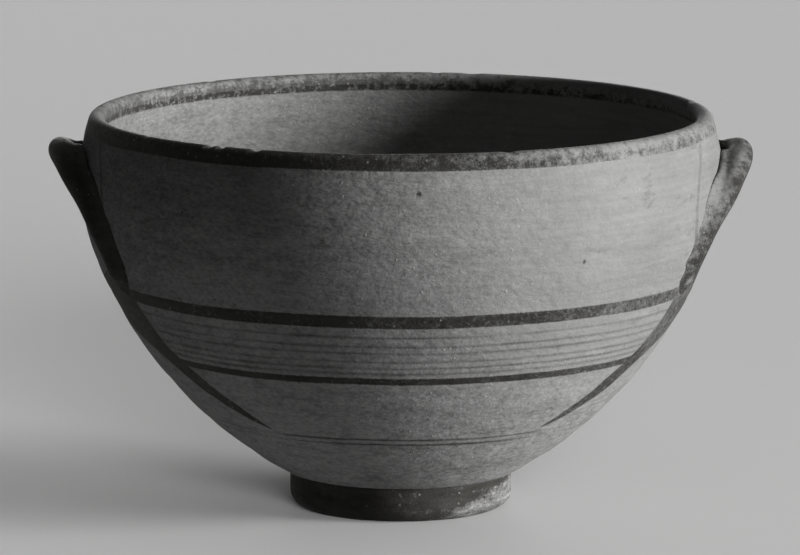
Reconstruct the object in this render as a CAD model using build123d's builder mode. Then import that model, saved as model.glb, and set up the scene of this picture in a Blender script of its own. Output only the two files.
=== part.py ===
# Skyphos: a wheel-thrown drinking cup on a ring foot, with a loop handle at each side.
# Millimetres, +Z up. The origin is the centre of the foot, on the surface that the cup stands on.
# The handles lie on the X axis, and the front of the cup faces -Y.
import os
from math import asin, atan2, cos, degrees, sin, sqrt

from build123d import *

# Bowl, thrown in one piece
lip_height = 102.7
belly_radius = 82.7
belly_height = 86.0
upper_curve = 54.0
curve_change_height = 67.0
wall = 4.4
base_height = 9.6
floor_thickness = 6.6
floor_curve = 20.0

# Foot, a separate ring under the bowl, set back a little from the edge of the bowl's base
foot_radius = 28.7
foot_width = 8.5
foot_hollow = 6.4
foot_setback = 1.3
foot_outer_round = 3.8
foot_inner_round = 1.2
foot_luting_leg = 3.5

# Handles, each one coil of clay bent into a loop that leans on the wall
coil_diameter = 6.4
handle_drop = 10.3
handle_gap = 2.2
shoulder_rise = 0.69
shoulder_spread = 43.0
shoulder_stand = 2.3
root_height = 68.0
root_spread = 60.0
root_sink = 1.1
tip_drop = 7.0
tip_sink = 6.1

# Luting, the pads of soft clay that bind the handles' roots to the wall
luting_radius = 9.5
luting_rise = 2.0

# The wall's outer face is two tangent arcs in the plane of radius and height
upper_rise = curve_change_height - belly_height
upper_centre = Vector(belly_radius - upper_curve, belly_height)
curve_change = upper_centre + Vector(sqrt(upper_curve**2 - upper_rise**2), upper_rise)
outward = (curve_change - upper_centre).normalized()
base_corner = Vector(foot_radius + foot_setback, base_height)
chord = curve_change - base_corner
lower_curve = chord.dot(chord) / (2 * chord.dot(outward))
lower_centre = curve_change - outward * lower_curve
down_the_wall = Vector(outward.Y, -outward.X)


def wall_radius(height):
    """Radius of the wall's outer face at a height."""
    if height < curve_change_height:
        return lower_centre.X + sqrt(lower_curve**2 - (height - lower_centre.Y) ** 2)
    return upper_centre.X + sqrt(upper_curve**2 - (height - upper_centre.Y) ** 2)


# The lip is a half round on the middle of the wall
lip_rise = lip_height - wall / 2 - belly_height
lip_centre = upper_centre + Vector(sqrt((upper_curve - wall / 2) ** 2 - lip_rise**2), lip_rise)
across_lip = (lip_centre - upper_centre).normalized() * (wall / 2)
lip_outer = lip_centre + across_lip
lip_inner = lip_centre - across_lip
lip_slope = degrees(atan2(across_lip.Y, across_lip.X))

# The inner face keeps the wall's thickness down to the floor
inner_change = curve_change - outward * wall
floor_height = foot_hollow + floor_thickness
floor_drop = floor_height - lower_centre.Y
floor_edge = Vector(lower_centre.X + sqrt((lower_curve - wall) ** 2 - floor_drop**2), floor_height)
foot_inner_radius = foot_radius - foot_width
seat_slope = (base_height - foot_hollow) / (base_corner.X - foot_inner_radius)
foot_top = foot_hollow + foot_width * seat_slope

with BuildPart() as bowl:
    with BuildSketch(Plane.YZ) as bowl_section:
        with BuildLine():
            TangentArc(curve_change, base_corner, tangent=down_the_wall)
            TangentArc(curve_change, lip_outer, tangent=-down_the_wall)
            CenterArc(lip_centre, wall / 2, lip_slope, 90)
            CenterArc(lip_centre, wall / 2, lip_slope + 90, 90)
            TangentArc(inner_change, lip_inner, tangent=-down_the_wall)
            TangentArc(inner_change, floor_edge, tangent=down_the_wall)
            Polyline(
                floor_edge,
                (0, floor_height),
                (0, foot_hollow),
                (foot_inner_radius, foot_hollow),
                base_corner,
            )
        make_face()
        fillet(bowl_section.vertices().sort_by_distance(floor_edge)[0], floor_curve)
    revolve(axis=Axis.Z)
bowl.part.label = "bowl"

# The solid outline of the bowl, which shapes what is pressed against the wall
with BuildPart() as bowl_outline:
    with BuildSketch(Plane.YZ):
        with BuildLine():
            TangentArc(curve_change, base_corner, tangent=down_the_wall)
            TangentArc(curve_change, lip_outer, tangent=-down_the_wall)
            crest = CenterArc(lip_centre, wall / 2, lip_slope, 90) @ 1
            Polyline(crest, (0, crest.Y), (0, base_height), base_corner)
        make_face()
    revolve(axis=Axis.Z)

# The foot ring seats on the cone under the bowl
with BuildPart() as foot_ring:
    with BuildSketch(Plane.YZ) as ring_section:
        with BuildLine():
            Polyline(
                (foot_radius, foot_top),
                (foot_radius, 0),
                (foot_inner_radius, 0),
                (foot_inner_radius, foot_hollow),
                close=True,
            )
        make_face()
        fillet(ring_section.vertices().sort_by_distance((foot_radius, 0))[0], foot_outer_round)
        fillet(ring_section.vertices().sort_by_distance((foot_inner_radius, 0))[0], foot_inner_round)
    revolve(axis=Axis.Z)
foot_ring.part.label = "foot_ring"

# A fillet of clay binds the inside of the ring to the underside of the bowl
with BuildPart() as foot_luting:
    with BuildSketch(Plane.YZ):
        with BuildLine():
            luting_top = Vector(foot_inner_radius - foot_luting_leg, foot_hollow)
            luting_foot = Vector(foot_inner_radius, foot_hollow - foot_luting_leg)
            TangentArc(luting_top, luting_foot, tangent=(1, 0))
            Polyline(luting_foot, (foot_inner_radius, foot_hollow), luting_top)
        make_face()
    revolve(axis=Axis.Z)
foot_luting.part.label = "foot_luting"

pieces = [bowl, foot_ring, foot_luting]

# Each coil rises from a root in the wall, leans out past a shoulder to its crown and comes down again
handle_height = lip_height - handle_drop
shoulder_height = root_height + shoulder_rise * (handle_height - root_height)


def loop_point(spread, height, stand):
    """A point on the middle of the left handle's coil.

    spread is its distance behind the handle's middle and stand its distance outside the wall.
    """
    radius = wall_radius(height) + stand
    return Vector(-sqrt(radius**2 - spread**2), spread, height)


with BuildPart() as left_handle:
    with BuildLine() as coil_line:
        Spline(
            loop_point(-root_spread / 2, root_height - tip_drop, -tip_sink),
            loop_point(-root_spread / 2, root_height, -root_sink),
            loop_point(-shoulder_spread / 2, shoulder_height, shoulder_stand),
            loop_point(0, handle_height, handle_gap + coil_diameter / 2),
            loop_point(shoulder_spread / 2, shoulder_height, shoulder_stand),
            loop_point(root_spread / 2, root_height, -root_sink),
            loop_point(root_spread / 2, root_height - tip_drop, -tip_sink),
        )
    with BuildSketch(Plane(origin=coil_line.line @ 0, z_dir=coil_line.line % 0)):
        Circle(coil_diameter / 2)
    sweep()
    add(bowl_outline.part, mode=Mode.SUBTRACT)
left_handle.part.label = "left_handle"

with BuildPart() as right_handle:
    mirror(left_handle.part, about=Plane.YZ)
right_handle.part.label = "right_handle"
pieces += [left_handle, right_handle]

# A pad of clay bulges around each root, between the coil and the wall
root_angle = asin(root_spread / 2 / wall_radius(root_height))
pad_height = root_height - tip_drop / 2
pad_radius = wall_radius(pad_height) + luting_rise - luting_radius
for end_name, end in (("front", -1), ("rear", 1)):
    with BuildPart() as left_luting:
        with Locations((-pad_radius * cos(root_angle), end * pad_radius * sin(root_angle), pad_height)):
            Sphere(luting_radius)
        add(bowl_outline.part, mode=Mode.SUBTRACT)
        add(left_handle.part, mode=Mode.SUBTRACT)
    left_luting.part.label = f"left_{end_name}_luting"

    with BuildPart() as right_luting:
        mirror(left_luting.part, about=Plane.YZ)
    right_luting.part.label = f"right_{end_name}_luting"
    pieces += [left_luting, right_luting]

os.makedirs("parts", exist_ok=True)
for piece in pieces:
    export_step(piece.part, f"parts/{piece.part.label}.step")
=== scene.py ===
# Skyphos: the finished look of a wheel-thrown clay drinking cup with bands of dark slip.
# Shapes are worked out in millimetres, as a potter would give them, and become metres in the meshes.
# +Z is up, the handles lie on the X axis and the front of the cup faces -Y.
from functools import reduce

import bpy
import numpy as np
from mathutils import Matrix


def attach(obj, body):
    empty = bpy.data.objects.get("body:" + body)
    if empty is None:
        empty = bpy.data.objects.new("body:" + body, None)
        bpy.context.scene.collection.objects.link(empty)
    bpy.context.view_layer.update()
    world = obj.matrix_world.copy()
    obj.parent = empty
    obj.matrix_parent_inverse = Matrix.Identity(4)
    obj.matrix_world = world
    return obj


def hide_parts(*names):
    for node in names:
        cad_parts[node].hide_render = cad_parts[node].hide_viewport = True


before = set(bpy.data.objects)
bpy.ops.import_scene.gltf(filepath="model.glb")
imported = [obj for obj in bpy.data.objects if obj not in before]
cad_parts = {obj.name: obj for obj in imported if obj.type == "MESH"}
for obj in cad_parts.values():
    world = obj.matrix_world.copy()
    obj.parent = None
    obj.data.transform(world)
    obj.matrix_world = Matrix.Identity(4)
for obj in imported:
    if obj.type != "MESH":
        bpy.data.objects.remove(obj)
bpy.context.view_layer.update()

# Bowl: the body of the cup, thrown in one piece from pale clay, so faint finger ridges run around it.
# The wall is two tangent arcs with a half-round lip, which is chipped in places.
# The bands, lines and strokes are slip, brushed on while the cup turned, fired dark and since worn.
around_bowl = 640
wall = 4.4
upper_centre = np.array([28.7, 86.0])
upper_curve = 54.0
lower_centre = np.array([-24.11, 105.85])
lower_curve = 110.42
curve_change_angle = -20.6
curve_change_height = 67.0
lip_centre = np.array([78.43, 100.5])
lip_slope = 16.25
base_corner = np.array([30.0, 9.6])
base_corner_angle = -60.66
foot_inner_radius = 20.2
foot_hollow = 6.4
floor_height = 13.0
floor_curve = 20.0
floor_curve_centre = np.array([21.63, 33.0])
floor_curve_angle = -57.88

# Chips in the lip: their reach down its sides, and for each its angle in degrees, half width and depth
chip_reach = 1.6
lip_chips = np.array(
    [
        [231.0, 0.9, 0.95],
        [233.6, 0.9, 0.85],
        [240.8, 1.3, 0.55],
        [214.0, 0.9, 0.30],
        [261.0, 1.0, 0.25],
        [288.0, 1.3, 0.35],
        [12.0, 1.6, 0.50],
        [74.0, 2.2, 0.20],
        [81.0, 1.1, 0.20],
        [128.0, 1.4, 0.20],
        [171.0, 1.0, 0.35],
    ]
)
# Finger ridges: distance from one to the next up the wall, height and phase
finger_ridges = np.array([[4.6, 0.020, 0.4], [7.1, 0.035, 2.1], [12.7, 0.060, 5.0], [23.0, 0.070, 1.3]])


def arc(centre, radius, start, end, count):
    """Points on a circle: the centre plus the radius times the cosine and sine of angles in degrees."""
    angles = np.radians(np.linspace(start, end, count))
    return centre + radius * np.stack([np.cos(angles), np.sin(angles)], -1)


def wall_radius(height):
    """Radius of the outer face: on the lower circle up to the change of curve, then on the upper one."""
    lower_rise = height - lower_centre[1]
    upper_rise = height - upper_centre[1]
    lower = lower_centre[0] + np.sqrt(np.maximum(lower_curve**2 - lower_rise**2, 0))
    upper = upper_centre[0] + np.sqrt(np.maximum(upper_curve**2 - upper_rise**2, 0))
    return np.where(height < curve_change_height, lower, upper)


def turned(profile, around, relief):
    """Surface of revolution of a profile of radius and height.

    Each point moves along the profile's normal by relief(distance along the profile, angle), and then
    the profile is carried around the Z axis: radius times cosine, radius times sine, height.
    """
    steps = np.linalg.norm(np.diff(profile, axis=0), axis=1)
    along = np.concatenate([[0], np.cumsum(steps)])[:, None]
    heading = np.gradient(profile, axis=0)
    heading /= np.linalg.norm(heading, axis=1, keepdims=True)
    angle = np.linspace(0, 2 * np.pi, around, endpoint=False)[None]
    offset = relief(along, angle)
    radius = profile[:, :1] + heading[:, 1:] * offset
    height = profile[:, 1:] - heading[:, :1] * offset
    return np.stack([radius * np.cos(angle), radius * np.sin(angle), height], -1)


def skin(name, rings, poles=None):
    """Object over a grid of points in millimetres, whose rows are closed rings.

    Neighbouring rings are joined by four-sided faces. Two poles close the first and the last ring with
    fans of triangles; without poles the last ring is joined to the first.
    """
    count, around = rings.shape[:2]
    index = np.arange(count * around).reshape(count, around)
    lower = index if poles is None else index[:-1]
    upper = np.roll(index, -1, axis=0) if poles is None else index[1:]
    corners = (lower, np.roll(lower, -1, axis=1), np.roll(upper, -1, axis=1), upper)
    faces = np.stack(corners, -1).reshape(-1, 4).tolist()
    points = rings.reshape(-1, 3)
    if poles is not None:
        first_pole = np.full(around, len(points))
        faces += np.stack([np.roll(index[0], -1), index[0], first_pole], -1).tolist()
        faces += np.stack([index[-1], np.roll(index[-1], -1), first_pole + 1], -1).tolist()
        points = np.vstack([points, poles])
    mesh = bpy.data.meshes.new(name)
    mesh.from_pydata((points / 1000).tolist(), [], faces)
    mesh.shade_smooth()
    piece = bpy.data.objects.new(name, mesh)
    bpy.context.scene.collection.objects.link(piece)
    return piece


bowl_profile = np.vstack(
    [
        np.linspace((0, foot_hollow), (foot_inner_radius, foot_hollow), 8),
        np.linspace((foot_inner_radius, foot_hollow), base_corner, 7)[1:],
        arc(lower_centre, lower_curve, base_corner_angle, curve_change_angle, 40)[1:],
        arc(upper_centre, upper_curve, curve_change_angle, lip_slope, 18)[1:],
        arc(lip_centre, wall / 2, lip_slope, lip_slope + 180, 19)[1:],
        arc(upper_centre, upper_curve - wall, lip_slope, curve_change_angle, 14)[1:],
        arc(lower_centre, lower_curve - wall, curve_change_angle, floor_curve_angle, 30)[1:],
        arc(floor_curve_centre, floor_curve, floor_curve_angle, -90, 10)[1:],
        np.linspace((floor_curve_centre[0], floor_height), (0, floor_height), 10)[1:],
    ]
)
lip_row = int(np.argmax(bowl_profile[:, 1]))
lip_along = np.linalg.norm(np.diff(bowl_profile[: lip_row + 1], axis=0), axis=1).sum()


def bowl_relief(along, angle):
    """Waves that spiral once around the bowl, less a bell-shaped dent in the lip for each chip."""
    length, height, phase = finger_ridges.T[:, :, None, None]
    ridges = (height * np.sin(2 * np.pi * along / length + angle + phase)).sum(0)
    place, half_width, depth = lip_chips.T[:, :, None, None]
    turn = (angle - np.radians(place) + np.pi) % (2 * np.pi) - np.pi
    across = turn * lip_centre[0] / half_width
    down = (along - lip_along) / chip_reach
    dents = depth * np.exp(-(across**4) - down**2)
    return ridges - dents.sum(0)


bowl = skin(
    "thrown_bowl",
    turned(bowl_profile, around_bowl, bowl_relief)[1:-1],
    poles=[(0, 0, foot_hollow), (0, 0, floor_height)],
)
inside = np.repeat(np.arange(1, len(bowl_profile) - 1) > lip_row, around_bowl)
bowl_side = bowl.data.attributes.new("inside", "FLOAT", "POINT")
bowl_side.data.foreach_set("value", np.append(inside, [False, True]).astype(np.float32))


class Shade:
    """A number that varies over the surface, worked out by a material's nodes.

    Arithmetic on it adds Math nodes to the material.
    """

    def __init__(self, socket):
        self.socket = socket

    def math(self, operation, *others, clamp=False):
        """Result of one operation on this number and others."""
        node = self.socket.id_data.nodes.new("ShaderNodeMath")
        node.operation = operation
        node.use_clamp = clamp
        for target, value in zip(node.inputs, (self, *others)):
            plug(target, value)
        return Shade(node.outputs[0])

    def __add__(self, other):
        return self.math("ADD", other)

    def __sub__(self, other):
        return self.math("SUBTRACT", other)

    def __rsub__(self, other):
        return self.math("MULTIPLY_ADD", -1, other)

    def __mul__(self, other):
        return self.math("MULTIPLY", other)

    def __abs__(self):
        return self.math("ABSOLUTE")

    def larger(self, other):
        return self.math("MAXIMUM", other)

    def above(self, level, softness):
        """From 0 to 1 as the number rises past a level, over a width of softness."""
        return (self - level).math("MULTIPLY_ADD", 1 / softness, 0.5, clamp=True)

    def below(self, level, softness):
        """From 1 to 0 as the number rises past a level, over a width of softness."""
        return (self * -1).above(-level, softness)


def plug(target, value):
    """Links a node's input to a shade or a socket, or sets it to a plain value."""
    source = value.socket if isinstance(value, Shade) else value
    if isinstance(source, bpy.types.NodeSocket):
        target.id_data.links.new(source, target)
    else:
        target.default_value = source


class Place:
    """Where a point of the clay lies, in millimetres, and the random patterns worked out from that."""

    def __init__(self, tree):
        self.tree = tree
        position = tree.nodes.new("ShaderNodeTexCoord").outputs["Object"]
        self.point = self.scaled(position, (1000, 1000, 1000))
        parts = tree.nodes.new("ShaderNodeSeparateXYZ")
        plug(parts.inputs[0], self.point)
        self.x, self.y, self.z = map(Shade, parts.outputs)

    def scaled(self, vector, factors):
        """A vector times a factor for each axis."""
        node = self.tree.nodes.new("ShaderNodeVectorMath")
        node.operation = "MULTIPLY"
        plug(node.inputs[0], vector)
        plug(node.inputs[1], factors)
        return node.outputs[0]

    def noise(self, size, detail=2.0, roughness=0.5, stretch=(1, 1, 1)):
        """Clouds about size across, from 0 to 1 around a half, drawn out along each axis by stretch."""
        node = self.tree.nodes.new("ShaderNodeTexNoise")
        plug(node.inputs["Vector"], self.scaled(self.point, [1 / (size * factor) for factor in stretch]))
        node.inputs["Scale"].default_value = 1
        node.inputs["Detail"].default_value = detail
        node.inputs["Roughness"].default_value = roughness
        return Shade(node.outputs[0])

    def cells(self, spacing):
        """Small cells about spacing apart: the distance from the middle of each, and its random level."""
        node = self.tree.nodes.new("ShaderNodeTexVoronoi")
        plug(node.inputs["Vector"], self.point)
        node.inputs["Scale"].default_value = 1 / spacing
        return Shade(node.outputs["Distance"]) * spacing, Shade(node.outputs["Color"])

    def dots(self, spacing, radius, share):
        """Round dots in the middle of a share of the cells."""
        distance, level = self.cells(spacing)
        return distance.below(radius, radius) * level.above(1 - share, 0.01)

    def near(self, centre, radius, softness):
        """1 around a centre and 0 further off than the radius."""
        node = self.tree.nodes.new("ShaderNodeVectorMath")
        node.operation = "DISTANCE"
        plug(node.inputs[0], self.point)
        plug(node.inputs[1], centre)
        return (Shade(node.outputs["Value"]) - radius).below(0, softness)

    def attribute(self, name):
        """A number that the mesh carries at its points, or 0 where it carries none."""
        node = self.tree.nodes.new("ShaderNodeAttribute")
        node.attribute_name = name
        return Shade(node.outputs["Fac"])

    def graph(self, value, points, top):
        """A smooth curve through points of (value, result), with results from 0 to top."""
        start = points[0][0]
        end = points[-1][0]
        node = self.tree.nodes.new("ShaderNodeFloatCurve")
        plug(node.inputs["Value"], (value - start) * (1 / (end - start)))
        curve = node.mapping.curves[0]
        for position, result in points[1:-1]:
            curve.points.new((position - start) / (end - start), result / top)
        curve.points[0].location = (0, points[0][1] / top)
        curve.points[len(points) - 1].location = (1, points[-1][1] / top)
        node.mapping.update()
        return Shade(node.outputs[0]) * top


def mixed(tree, share, first, second):
    """Colour that goes from the first to the second as share goes from 0 to 1.

    For colours, a Mix node takes the two as its inputs 6 and 7 and gives the result as its output 2.
    """
    node = tree.nodes.new("ShaderNodeMix")
    node.data_type = "RGBA"
    plug(node.inputs[0], share)
    plug(node.inputs[6], first)
    plug(node.inputs[7], second)
    return node.outputs[2]


clay_dark = (0.20, 0.201, 0.197, 1)
clay_light = (0.55, 0.552, 0.546, 1)
slip_dense = (0.028, 0.027, 0.024, 1)
slip_thin = (0.075, 0.073, 0.068, 1)
crust_colour = (0.58, 0.58, 0.57, 1)
pit_colour = (0.05, 0.049, 0.046, 1)
bump_distance = 0.001
clay_gloss = 0.12
# Two pits that stand out on the front: centre and radius
single_pits = (((1.5, -82.2, 93.4), 0.55), ((42.9, -69.2, 74.2), 0.40))


def fired_clay(name, slip_cover=None):
    """Material of pale fired clay, under dark slip whose cover from 0 to 1 is slip_cover(place).

    Clouds, crusts, flecks and streaks shift the clay between a dark and a light tone. The crusts are
    fainter high on the right. The clay is darker inside the bowl, which is painted shade in its hollow,
    and darker towards both handles, which is painted shade that tones down the brightly lit right flank.
    The surface is rough at every scale, with grains of lime standing out of it and small pits.
    """
    material = bpy.data.materials.new(name)
    material.use_nodes = True
    tree = material.node_tree
    place = Place(tree)
    inside = place.attribute("inside")
    # Painted shade: the clay is darker towards both handles, to tone down the brightly lit right flank
    painted_shade_by_handles = abs(place.x).above(64, 36)
    high_right = place.x.above(12, 60) * place.z.above(40, 26)
    patches = place.noise(size=20)
    mottle = place.noise(size=3.0, detail=5, roughness=0.7, stretch=(2.2, 2.2, 1))
    grit = place.noise(size=0.8, detail=4, roughness=0.7, stretch=(1.8, 1.8, 1))
    streaks = place.noise(size=1.3, detail=3, stretch=(14, 14, 1))
    texture = place.noise(size=2.4, detail=8, roughness=0.64, stretch=(1.6, 1.6, 1))
    flecks = mottle.above(0.59, 0.10) * patches.above(0.50, 0.16)
    grains = place.dots(spacing=1.9, radius=0.28, share=0.3) * patches.above(0.44, 0.2)
    pits = place.dots(spacing=6.0, radius=0.20, share=0.3)
    for centre, radius in single_pits:
        pits = pits.larger(place.near(centre, (grit * 4 - 1) * radius, softness=0.5))

    crust = (mottle - 0.5) * 1.5 + (grit - 0.5) * 1.7
    crust = crust * (1 - high_right * 0.85) * (1 - inside * 0.35)
    tone = (patches - 0.5) * 0.3 + (streaks - 0.5) * 0.36 + crust
    # Painted shade: the inside term darkens the clay in the bowl's hollow, where less light reaches
    tone = tone - flecks * 0.22 - inside * 0.13 - painted_shade_by_handles * 0.28
    colour = mixed(tree, tone.above(0, 1), clay_dark, clay_light)
    roughness = mottle * 0.2 + 0.78
    relief = texture * 0.46 + streaks * 0.06 + grains * 0.08 - pits * 0.3
    if slip_cover is not None:
        cover = slip_cover(place)
        density = place.noise(size=2.2, detail=3, stretch=(5, 5, 1)) + mottle * 0.5
        slip = mixed(tree, density.above(0.75, 0.6), slip_dense, slip_thin)
        colour = mixed(tree, cover, colour, slip)
        roughness = roughness - cover * 0.12
        relief = relief + cover * 0.02
    colour = mixed(tree, grains * 0.45, colour, crust_colour)
    colour = mixed(tree, pits * 0.8, colour, pit_colour)

    bump = tree.nodes.new("ShaderNodeBump")
    bump.inputs["Distance"].default_value = bump_distance
    plug(bump.inputs["Height"], relief)
    shader = tree.nodes["Principled BSDF"]
    plug(shader.inputs["Base Color"], colour)
    plug(shader.inputs["Roughness"], roughness)
    plug(shader.inputs["Normal"], bump.outputs[0])
    shader.inputs["Specular IOR Level"].default_value = clay_gloss
    return material


def worn(place, amount):
    """Share of the slip that is rubbed off: an amount, more or less of it in specks, smears and patches."""
    speck_level = place.cells(spacing=0.32)[1]
    specks = speck_level - 0.5
    smears = place.noise(size=1.7, detail=6, roughness=0.72) - 0.5
    patches = place.noise(size=12) - 0.5
    return (amount + specks * 0.5 + smears * 1.7 + patches * 0.8).above(0.5, 1.0)


# Heights of the slip on the outside of the wall: bands and lines by their middle and half width
rim_band_bottom = 98.8
broad_bands = ((60.45, 1.65), (43.875, 0.925))
fine_lines = (56.3, 53.7, 51.8, 49.4, 47.7, 46.1)
fine_line_half = 0.30
twin_lines = (26.3, 24.8)
twin_line_half = 0.28

# The stroke beside each root, by height: its angle from the handles' axis, and its half width.
# Above the root it is a faint line, further forward on the right side than on the left.
stroke_angles = (
    (27.4, 50.5), (30.0, 45.5), (33.0, 41.3), (36.0, 37.5), (40.0, 33.3), (44.0, 29.0), (48.0, 25.6),
    (52.0, 23.5), (56.0, 22.2), (60.0, 21.5), (68.0, 22.0), (77.0, 24.2), (87.0, 24.0), (99.0, 20.5),
)
stroke_half_widths = (
    (27.4, 0.2), (28.6, 1.5), (30.0, 2.3), (33.0, 3.5), (36.0, 4.1), (44.0, 5.0), (52.0, 5.3), (60.0, 5.2),
    (66.0, 4.2), (71.0, 1.9), (76.0, 0.95), (99.0, 0.80),
)
stroke_bottom = stroke_angles[0][0]
stroke_wall_radius = 68
faint_line_bottom = 74
faint_line_shift = 2.3

# The arch under each handle, by its heights below the middle of the handle
arch_bottom = 51.0
arch_top = 61.0
arch_flare = 0.012
arch_half_angle = 36

# The lip: the band inside it with a dense line along its lower edge, the wear at the rear, and the crest
inner_band_bottom = 98.0
inner_line = 98.7
inner_line_half = 0.9
rear_wear_bottom = 97
crest_bottom = 101.0


def ruled(place, height, middles, half_width, softness, unevenness):
    """Thin lines at some heights, narrower and wider where the brush skips along the wall."""
    brush = (place.noise(size=1.2, detail=3, stretch=(16, 16, 1)) - 0.5) * unevenness
    lines = [(abs(height - middle) + brush).below(half_width, softness) for middle in middles]
    return reduce(Shade.larger, lines)


def root_stroke(place, lead, fray, right):
    """The stroke beside a root: where the distance from its middle is under the half width at that height.

    It is thinned above the root, and more on the right.
    """
    half_width = place.graph(place.z, stroke_half_widths, top=6) + fray * 1.8
    thinned = 1 - place.z.above(faint_line_bottom, 8) * (right * 0.32 + 0.3)
    return (half_width - abs(lead)).above(0, 0.8) * place.z.above(stroke_bottom, 0.3) * thinned


def handle_arch(height, angle, lead):
    """Slip between the strokes under a handle, which grows deeper with the square of the angle."""
    flare = angle * angle * arch_flare
    arch = (height + flare).above(arch_bottom, 0.4) * (height - flare * 1.5).below(arch_top, 0.4)
    return arch * lead.below(0, 0.5) * angle.below(arch_half_angle, 2)


def bowl_wear(place, height):
    """Slip lost from the bowl: most on the right, and in blotches along the rim there and at the rear."""
    exposed = place.x.above(34, 60) * (place.z.above(52, 10) * 0.35 + 0.65)
    rim_right = place.x.above(18, 48) * height.above(rim_band_bottom, 0.3)
    rim_rear = place.y.above(10, 30) * place.z.above(rear_wear_bottom, 1)
    crest = place.z.above(crest_bottom, 1.4)
    blotches = place.noise(size=2.0, detail=5, roughness=0.75) - 0.5
    amount = exposed * 0.38 + crest * 0.10 - 0.12
    amount = amount + rim_right * (crest * 0.25 + blotches * 2.4 + 0.4)
    amount = amount + rim_rear * (crest * 0.45 + blotches * 4.5 + 0.2)
    return worn(place, amount)


def bowl_slip(place):
    """Bands and lines around the outside, a stroke beside each root, and a band inside the lip.

    The bands and fine lines run from stroke to stroke. The twin lines below run on, fainter, under the
    handles, where an arch of slip joins the strokes. Lead is how far a point lies ahead of the stroke.
    """
    wander = (place.noise(size=35) - 0.5) * 0.9
    fray = (place.noise(size=0.7, detail=4, roughness=0.6) - 0.5) * 0.55
    line_height = place.z + wander
    height = line_height + fray
    right = place.x.above(0, 10)
    angle = abs(place.y).math("ARCTAN2", abs(place.x)) * np.degrees(1)
    shift = (right * 2 - 1) * place.z.above(faint_line_bottom, 10) * faint_line_shift
    stroke_angle = place.graph(place.z, stroke_angles, top=60) + shift
    lead = (angle - stroke_angle) * (np.radians(1) * stroke_wall_radius)

    ink = place.noise(size=6.0, detail=3, stretch=(2, 2, 0.3)).above(0.45, 0.4) * 0.45 + 0.2
    panel = ruled(place, line_height, fine_lines, fine_line_half, softness=0.6, unevenness=0.8) * ink
    for middle, half_width in broad_bands:
        panel = panel.larger(abs(height - middle).below(half_width, 0.3))
    twins = ruled(place, line_height, twin_lines, twin_line_half, softness=0.4, unevenness=0.5)
    twins = twins * (ink + 0.3) * (lead.above(0, 9) * 0.75 + 0.25)
    outer = height.above(rim_band_bottom, 0.3).larger(panel * lead.above(0, 0.5)).larger(twins)
    outer = outer.larger(root_stroke(place, lead, fray, right)).larger(handle_arch(height, angle, lead))

    inner = height.above(inner_band_bottom, 0.35) * 0.75
    inner = inner + abs(height - inner_line).below(inner_line_half, 0.5) * 0.35
    inside = place.attribute("inside")
    cover = outer * (1 - inside) + inner * inside
    return cover * (1 - bowl_wear(place, height))


bowl.data.materials.append(fired_clay("banded_clay", bowl_slip))
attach(bowl, "root")
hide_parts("bowl")

# Foot ring: a separate ring of the same clay, luted under the bowl and turned true on the wheel.
# Its outer face is coated with dark slip, which has rubbed off along the lower edge and at one end.
around_foot = 480
foot_radius = 28.7
foot_top = 9.4
foot_outer_round = 3.8
foot_inner_round = 1.2
waves_start = 3.5
waves_end = 24.0
waves_fade = 4.0
coat_start_radius = 25.6
rubbed_line = 3.2
foot_profile = np.vstack(
    [
        np.linspace((foot_inner_radius + foot_inner_round, 0), (foot_radius - foot_outer_round, 0), 6),
        arc((foot_radius - foot_outer_round, foot_outer_round), foot_outer_round, -90, 0, 14)[1:],
        np.linspace((foot_radius, foot_outer_round), (foot_radius, foot_top), 9)[1:],
        np.linspace((foot_radius, foot_top), (foot_inner_radius, foot_hollow), 7)[1:],
        np.linspace((foot_inner_radius, foot_hollow), (foot_inner_radius, foot_inner_round), 7)[1:],
        arc((foot_inner_radius + foot_inner_round, foot_inner_round), foot_inner_round, 180, 270, 8)[1:-1],
    ]
)


def foot_relief(along, angle):
    """Shallow waves around the ring, kept off its flat resting face at the start of the profile."""
    waves = 0.10 * np.sin(5 * angle + 1.0) * np.sin(along / 3) + 0.06 * np.sin(13 * angle + along / 2)
    fade_in = np.clip((along - waves_start) / waves_fade, 0, 1)
    fade_out = np.clip((waves_end - along) / waves_fade, 0, 1)
    return waves * fade_in * fade_out


foot = skin("turned_foot", turned(foot_profile, around_foot, foot_relief))


def foot_slip(place):
    """Slip on the outer face, lost on the right below a slanting edge.

    Towards the right it is also streaked by the turning, and rubbed along a line above the rest.
    """
    radius = (place.x * place.x + place.y * place.y).math("SQRT")
    coated = radius.above(coat_start_radius, 1.5)
    bare_end = (place.x - place.z * 2.7).above(5.5, 6.0)
    line = abs(place.z - rubbed_line).below(0.5, 1.0) * place.x.above(2, 20)
    streaks = place.noise(size=0.9, detail=4, roughness=0.6, stretch=(9, 9, 1)) - 0.5
    turning = streaks * place.x.above(0, 30)
    loss = worn(place, bare_end * 0.68 + line * 0.25 + turning * 1.4 - 0.24)
    return coated * (1 - loss)


foot.data.materials.append(fired_clay("coated_foot", foot_slip))
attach(foot, "root")
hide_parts("foot_ring")

# Foot luting: a fillet of soft clay pressed into the corner between the ring and the bowl's underside.
# It is smoothed with a fingertip and left bare.
around_luting = 360
luting_leg = 3.5
luting_face = 5.5
luting_corner = np.array([foot_inner_radius + 0.2, foot_hollow + 0.2])
luting_profile = np.vstack(
    [
        arc((foot_inner_radius - luting_leg, foot_hollow - luting_leg), luting_leg, 90, 0, 12),
        np.linspace((foot_inner_radius, foot_hollow - luting_leg), luting_corner, 5)[1:],
        np.linspace(luting_corner, (foot_inner_radius - luting_leg, foot_hollow), 5)[1:-1],
    ]
)


def luting_relief(along, angle):
    """Fingertip marks, as waves around the hollow face of the fillet."""
    return 0.12 * np.sin(17 * angle) * np.sin(np.pi * np.clip(along / luting_face, 0, 1))


foot_luting = skin("foot_fillet", turned(luting_profile, around_luting, luting_relief))
foot_luting.data.materials.append(fired_clay("bare_clay"))
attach(foot_luting, "root")
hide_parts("foot_luting")

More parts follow.
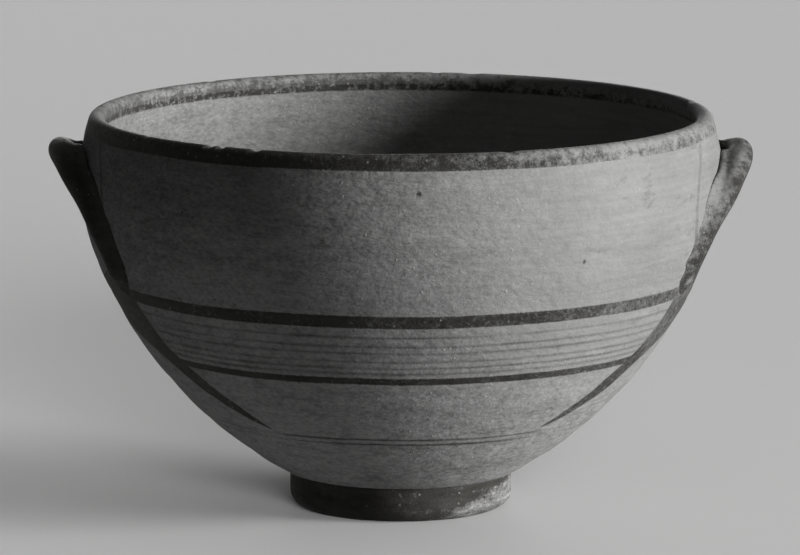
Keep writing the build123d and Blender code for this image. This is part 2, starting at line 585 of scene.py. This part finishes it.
# Handles: each is one coil of clay, rolled by hand and bent into an upright loop with its back pressed
# against the wall. Slip covers them, worn through to the clay on the right one.
along_coil = 190
around_coil = 64
coil_radius = 3.2
half_spread = 30.2
root_height = 66.6
loop_rise = 25.7
root_stand = -1.1
crown_stand = 5.4
dive_angle = 0.13
dive_depth = 22.0
pressed_depth = 0.6
skirt_height = 2.6
skirt_spread = 0.5
gap_half_length = 7.0
coil_turn = np.linspace(0, 2 * np.pi, around_coil, endpoint=False)[None]
# The two handles: name, side, extra rise of the crown, lean to the front, and phase of the coil's swell
handles = (("left", -1, 1.0, 0.08, 0.7), ("right", 1, -0.5, 0, 2.9))
# Places where the slip has flaked off the right handle: centre and radius
slip_flakes = (((72.2, -31.5, 63.0), 1.2), ((86.5, -14.6, 92.4), 1.0))


def loop(rise_extra, lean):
    """Middle line of the right handle's coil: a half ellipse that goes on a little below its ends.

    With t along it, the distance behind the middle is minus the half spread times the cosine of t. The
    height is the root's plus the loop's rise times the sine, and less towards the rear of a loop that
    leans. The distance outside the wall grows with the square of the sine, and below the roots the coil
    dives into the wall.
    """
    t = np.linspace(-dive_angle, np.pi + dive_angle, along_coil)
    rise = np.maximum(np.sin(t), 0)
    dive = np.maximum(-np.sin(t), 0)
    behind = -half_spread * np.cos(t)
    height = root_height + (loop_rise + rise_extra) * np.sin(t) - lean * behind * rise**2
    stand = root_stand + (crown_stand - root_stand) * rise**2 - dive_depth * dive
    across = np.sqrt((wall_radius(height) + stand) ** 2 - behind**2)
    return np.stack([across, behind, height], -1)


def wall_stand(points):
    """How far points lie outside the wall's face."""
    return np.hypot(points[..., 0], points[..., 1]) - wall_radius(points[..., 2])


def press(points):
    """Moves points that are too deep in the wall straight out to the pressed depth."""
    reach = np.hypot(points[..., 0], points[..., 1])
    least = wall_radius(points[..., 2]) - pressed_depth
    grow = np.maximum(least / reach, 1)
    return points * np.stack([grow, grow, np.ones_like(grow)], -1)


def coil(path, phase):
    """Tube around a path with the back pressed flat against the wall.

    A ring is the path's point plus the radius times cosine and sine along two directions square to the
    path. The radius swells and shrinks slowly. Outside the gap behind the crown the inner half is drawn out
    until it reaches the wall. Close to the wall the sides spread by the square of the depth below the
    skirt's height, and no point goes deeper into the wall than the pressed depth.
    """
    heading = np.gradient(path, axis=0)
    heading /= np.linalg.norm(heading, axis=1, keepdims=True)
    out = path * (1, 1, 0)
    out = out - heading * (out * heading).sum(axis=1, keepdims=True)
    out /= np.linalg.norm(out, axis=1, keepdims=True)
    side = np.cross(heading, out)
    along = np.linspace(0, 1, len(path))[:, None]
    swell = 0.12 * np.sin(19 * along + phase) + 0.08 * np.sin(41 * along + 2 * coil_turn + phase)
    radius = (coil_radius + swell)[..., None]
    webbed = 1 - np.exp(-((path[:, 1:2] / gap_half_length) ** 4))
    missing = np.maximum(wall_stand(path)[:, None] + pressed_depth - coil_radius, 0)
    drawn = 1 + webbed * missing / coil_radius
    outwards = (np.cos(coil_turn) * np.where(np.cos(coil_turn) < 0, drawn, 1))[..., None]
    sideways = np.sin(coil_turn)[..., None]
    rings = path[:, None] + radius * (out[:, None] * outwards + side[:, None] * sideways)
    depth = np.clip(skirt_height - wall_stand(rings), 0, skirt_height)[..., None]
    rings = rings + side[:, None] * sideways * skirt_spread * depth**2
    return press(rings)


def rubbed_front(path):
    """How much a coil is rubbed: on its front arm only, from a little inside the outer edge to the wall."""
    inwards = np.clip((2 * np.pi - coil_turn - np.radians(20)) / np.radians(50), 0, 1)
    front_face = np.clip((coil_turn - np.pi) / np.radians(10), 0, 1)
    front_arm = np.clip(0.5 - path[:, 1:2] / 10, 0, 1)
    return inwards * front_face * front_arm


def handle_slip(place):
    """Slip all over, rubbed through in blotches on the right handle's front and flaked off in places."""
    right = place.x.above(0, 10)
    rubbed = place.attribute("rubbed") * place.z.above(72, 14)
    blotches = place.noise(size=2.2, detail=4, roughness=0.65) - 0.5
    amount = right * (rubbed * 0.8 + blotches * 2.2 + 0.15) - 0.15
    for centre, radius in slip_flakes:
        amount = amount + place.near(centre, radius, softness=1.0)
    return 1 - worn(place, amount)


handle_finish = fired_clay("coated_handle", handle_slip)
for side_name, side, rise_extra, lean, phase in handles:
    coil_path = loop(rise_extra, lean)
    rings = coil(coil_path, phase) * (side, 1, 1)
    ends = press(coil_path[[0, -1]]) * (side, 1, 1)
    handle = skin(f"{side_name}_coil", rings[:, ::side], poles=ends)
    rubbed = np.append(rubbed_front(coil_path)[:, ::side], [0, 0])
    handle_rubbed = handle.data.attributes.new("rubbed", "FLOAT", "POINT")
    handle_rubbed.data.foreach_set("value", rubbed.astype(np.float32))
    handle.data.materials.append(handle_finish)
    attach(handle, "root")
    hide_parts(f"{side_name}_handle")

# Luting pads: a lump of soft clay worked in around each root with the thumb, to bind the coil to the wall.
# They are smeared out to nothing on the wall, and coated with the handles.
across_pad = 16
around_pad = 64
pad_radius = 6.6
pad_rise = 1.9
pad_edge_sink = 0.3
pad_height = 64.5
pad_angle = np.radians(22.1)


def pad(end):
    """Low mound on the wall around a root of the right handle.

    Distances from the middle run from next to nothing to the pad's radius. The outer face rises by the
    square of what is left of the squared distance and sinks into the wall at its edge. The back lies at
    the pressed depth.
    """
    share = np.linspace(0.04, 1, across_pad)[:, None]
    turn = np.linspace(0, 2 * np.pi, around_pad, endpoint=False)[None]
    distance = share * pad_radius * (1 + 0.08 * np.sin(3 * turn + end))
    height = pad_height + distance * np.sin(turn)
    angle = end * pad_angle + distance * np.cos(turn) / wall_radius(height)
    rise = (pad_rise + pad_edge_sink) * (1 - share**2) ** 2 - pad_edge_sink
    front = wall_radius(height) + rise
    back = wall_radius(height) - pressed_depth
    radius = np.vstack([back, front[::-1]])
    height = np.vstack([height, height[::-1]])
    angle = np.vstack([angle, angle[::-1]])
    rings = np.stack([radius * np.cos(angle), radius * np.sin(angle), height], -1)
    return rings, rings[[0, -1]].mean(axis=1)


for side_name, side in (("left", -1), ("right", 1)):
    for end_name, end in (("front", -1), ("rear", 1)):
        rings, ends = pad(end)
        rings = rings[:, ::side] * (side, 1, 1)
        luting = skin(f"{side_name}_{end_name}_pad", rings, poles=ends * (side, 1, 1))
        luting.data.materials.append(handle_finish)
        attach(luting, "root")
        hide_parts(f"{side_name}_{end_name}_luting")

# Floor: a sheet of pale paper that the cup stands on, wide enough to fill the view.
# It throws less light back at the cup than it shows to the eye, and least from far off, so that the
# cup's shade keeps its depth.
floor_colour_seen = (0.54, 0.54, 0.54, 1)
floor_colour_near = (0.20, 0.20, 0.20, 1)
floor_colour_far = (0.07, 0.07, 0.07, 1)
floor_near = 200
floor_near_fade = 100
floor_half = 6000
floor_mesh = bpy.data.meshes.new("floor")
floor_corners = np.array([(-1, -1, 0), (1, -1, 0), (1, 1, 0), (-1, 1, 0)]) * floor_half / 1000
floor_mesh.from_pydata(floor_corners.tolist(), [], [(0, 1, 2, 3)])
floor = bpy.data.objects.new("floor", floor_mesh)
bpy.context.scene.collection.objects.link(floor)


def seen_directly(tree):
    """1 for what the camera sees, straight or in a gloss, and 0 for light on its way to the cup."""
    path = tree.nodes.new("ShaderNodeLightPath")
    seen = Shade(path.outputs["Is Camera Ray"]).larger(Shade(path.outputs["Is Glossy Ray"]))
    return seen.larger(Shade(path.outputs["Is Transmission Ray"]))


paper = bpy.data.materials.new("paper")
paper.use_nodes = True
paper_tree = paper.node_tree
paper_shader = paper_tree.nodes["Principled BSDF"]
paper_near = Place(paper_tree).near((0, 0, 0), floor_near, floor_near_fade)
paper_lit = mixed(paper_tree, paper_near, floor_colour_far, floor_colour_near)
paper_colour = mixed(paper_tree, seen_directly(paper_tree), paper_lit, floor_colour_seen)
plug(paper_shader.inputs["Base Color"], paper_colour)
paper_shader.inputs["Roughness"].default_value = 1.0
paper_shader.inputs["Specular IOR Level"].default_value = 0.0
floor_mesh.materials.append(paper)

# Light: a broad low window on the right, a little in front of the cup, and one behind it that keeps the
# far side readable. The front window and the ceiling fall on the paper only, and the cup shades the paper
# from them.
camera_turn = np.radians(2.0)
# Each light: name, angle from the camera's side of the cup towards the right, rise, strength and breadth
lights = (
    ("near_window", 76, 11, 4.6, 24),
    ("far_window", 180, 4, 1.7, 20),
    ("front_window", 13, 10, 4.6, 30),
    ("ceiling", 90, 65, 0.92, 120),
)
for light_name, light_angle, light_rise, strength, breadth in lights:
    lamp = bpy.data.lights.new(light_name, "SUN")
    lamp.energy = strength
    lamp.angle = np.radians(breadth)
    light = bpy.data.objects.new(light_name, lamp)
    light.rotation_euler = (np.radians(90 - light_rise), 0, np.radians(light_angle) - camera_turn)
    bpy.context.scene.collection.objects.link(light)
paper_only = bpy.data.collections.new("paper_only")
paper_only.objects.link(floor)
for light_name in ("front_window", "ceiling"):
    bpy.data.objects[light_name].light_linking.receiver_collection = paper_only

# A small lamp, a little over a metre above the cup, reaches only the bottom of the bowl
mouth_lamp_height = 1.2
mouth_lamp_power = 14
mouth_lamp_breadth = np.radians(5.2)
mouth_lamp = bpy.data.lights.new("mouth_lamp", "SPOT")
mouth_lamp.energy = mouth_lamp_power
mouth_lamp.spot_size = mouth_lamp_breadth
mouth_lamp.spot_blend = 1
mouth_lamp.shadow_soft_size = 0.05
mouth_light = bpy.data.objects.new("mouth_lamp", mouth_lamp)
mouth_light.location = (0, 0, mouth_lamp_height)
bpy.context.scene.collection.objects.link(mouth_light)

# The room beyond the paper looks as pale as the paper, and gives the cup next to no light
room_seen = (0.44, 0.445, 0.445, 1)
room_glow = (0.003, 0.003, 0.003, 1)
room = bpy.data.worlds.new("room")
room.use_nodes = True
room_tree = room.node_tree
room_colour = mixed(room_tree, seen_directly(room_tree), room_glow, room_seen)
plug(room_tree.nodes["Background"].inputs["Color"], room_colour)
bpy.context.scene.world = room
bpy.context.scene.view_settings.view_transform = "Standard"

# Camera: a long lens in front of the cup and a little to its left, looking a little down into it.
# Lengths are in metres and angles in radians, and the focal length and the sensor in millimetres.
camera_distance = 1.6
camera_height = 0.3214
camera_tilt = 0.1624
camera_pan = 0.00014
focal_length = 281.86
sensor_width = 36
camera_lens = bpy.data.cameras.new("camera")
camera_lens.sensor_width = sensor_width
camera_lens.lens = focal_length
camera_lens.clip_end = 50
camera = bpy.data.objects.new("camera", camera_lens)
camera.location = (
    -camera_distance * np.sin(camera_turn),
    -camera_distance * np.cos(camera_turn),
    camera_height,
)
camera.rotation_euler = (np.pi / 2 - camera_tilt, 0, camera_pan - camera_turn)
bpy.context.scene.collection.objects.link(camera)
bpy.context.scene.camera = camera
